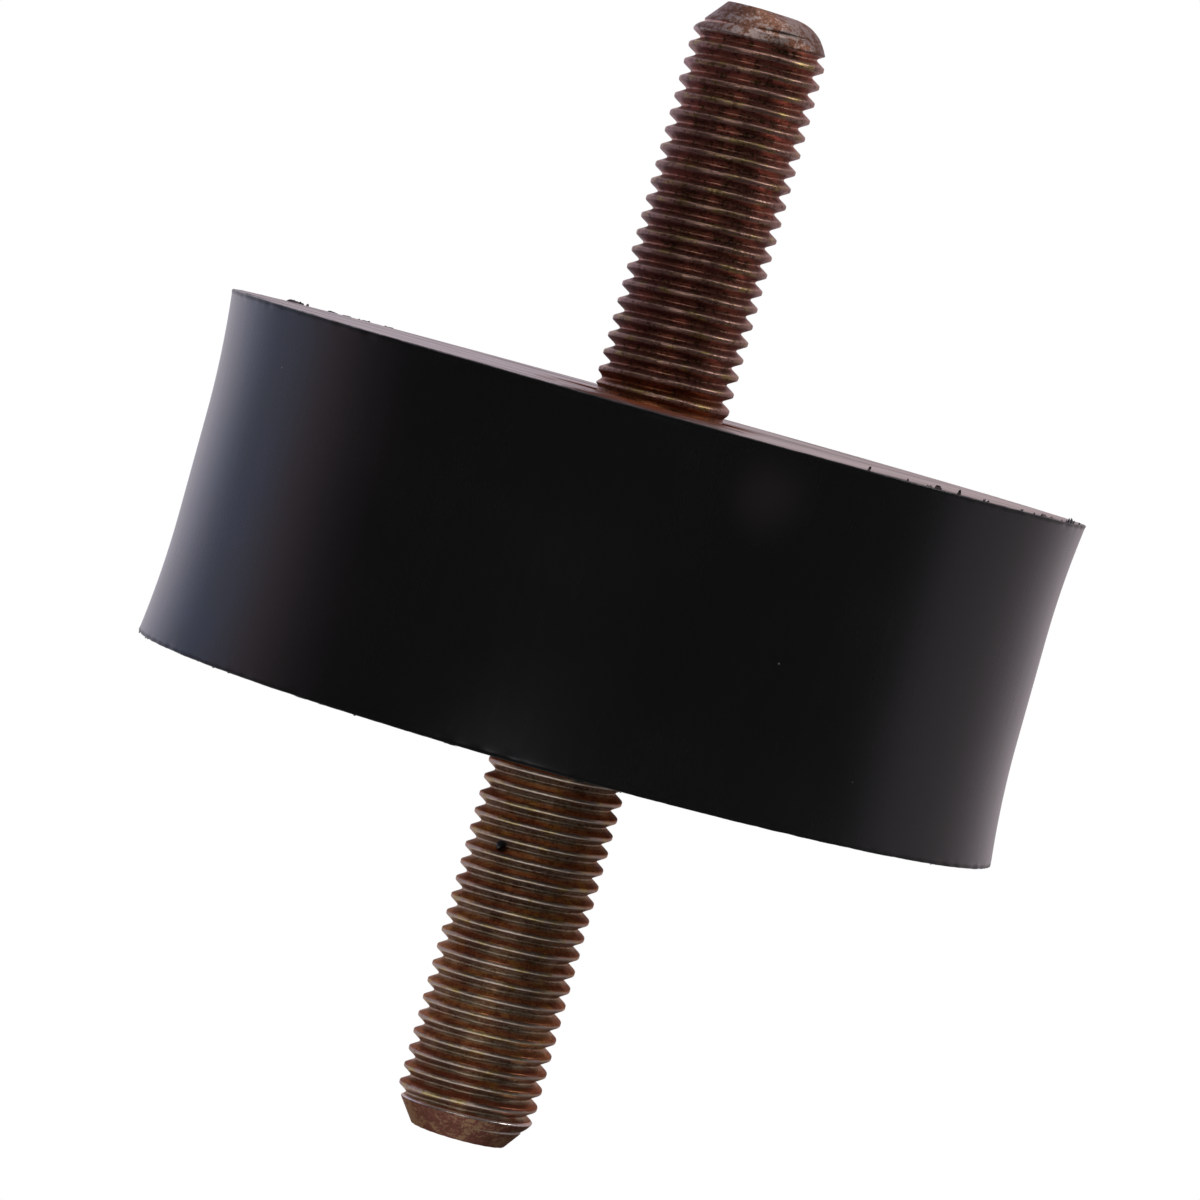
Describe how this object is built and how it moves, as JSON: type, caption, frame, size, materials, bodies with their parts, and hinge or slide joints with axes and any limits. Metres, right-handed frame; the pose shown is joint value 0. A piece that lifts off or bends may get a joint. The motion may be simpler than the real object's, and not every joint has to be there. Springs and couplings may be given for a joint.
{
  "type": "bobbin vibration mount",
  "caption": "Waisted rubber buffer bonded between two round steel plates, with a threaded stud standing out of each end.",
  "frame": {"origin": "centre of the lower mounting face, on the studs' axis", "axes": "+Z along the studs' axis from the lower mounting face to the upper one; +X and +Y are any two directions across it"},
  "size_m": [0.1, 0.1, 0.1318],
  "materials": {
    "rubber": "satin moulded black rubber",
    "plate_steel": "dull grey steel, bare",
    "rusted_stud": "reddish brown tarnish, crests worn pale",
    "passivated_stud": "old yellow passivation, crests worn bright"
  },
  "bodies": {
    "root": {"rubber_body": "rubber", "upper_plate": "plate_steel", "lower_plate": "plate_steel", "upper_stud": "rusted_stud", "lower_stud": "passivated_stud"}
  },
  "joints": []
}
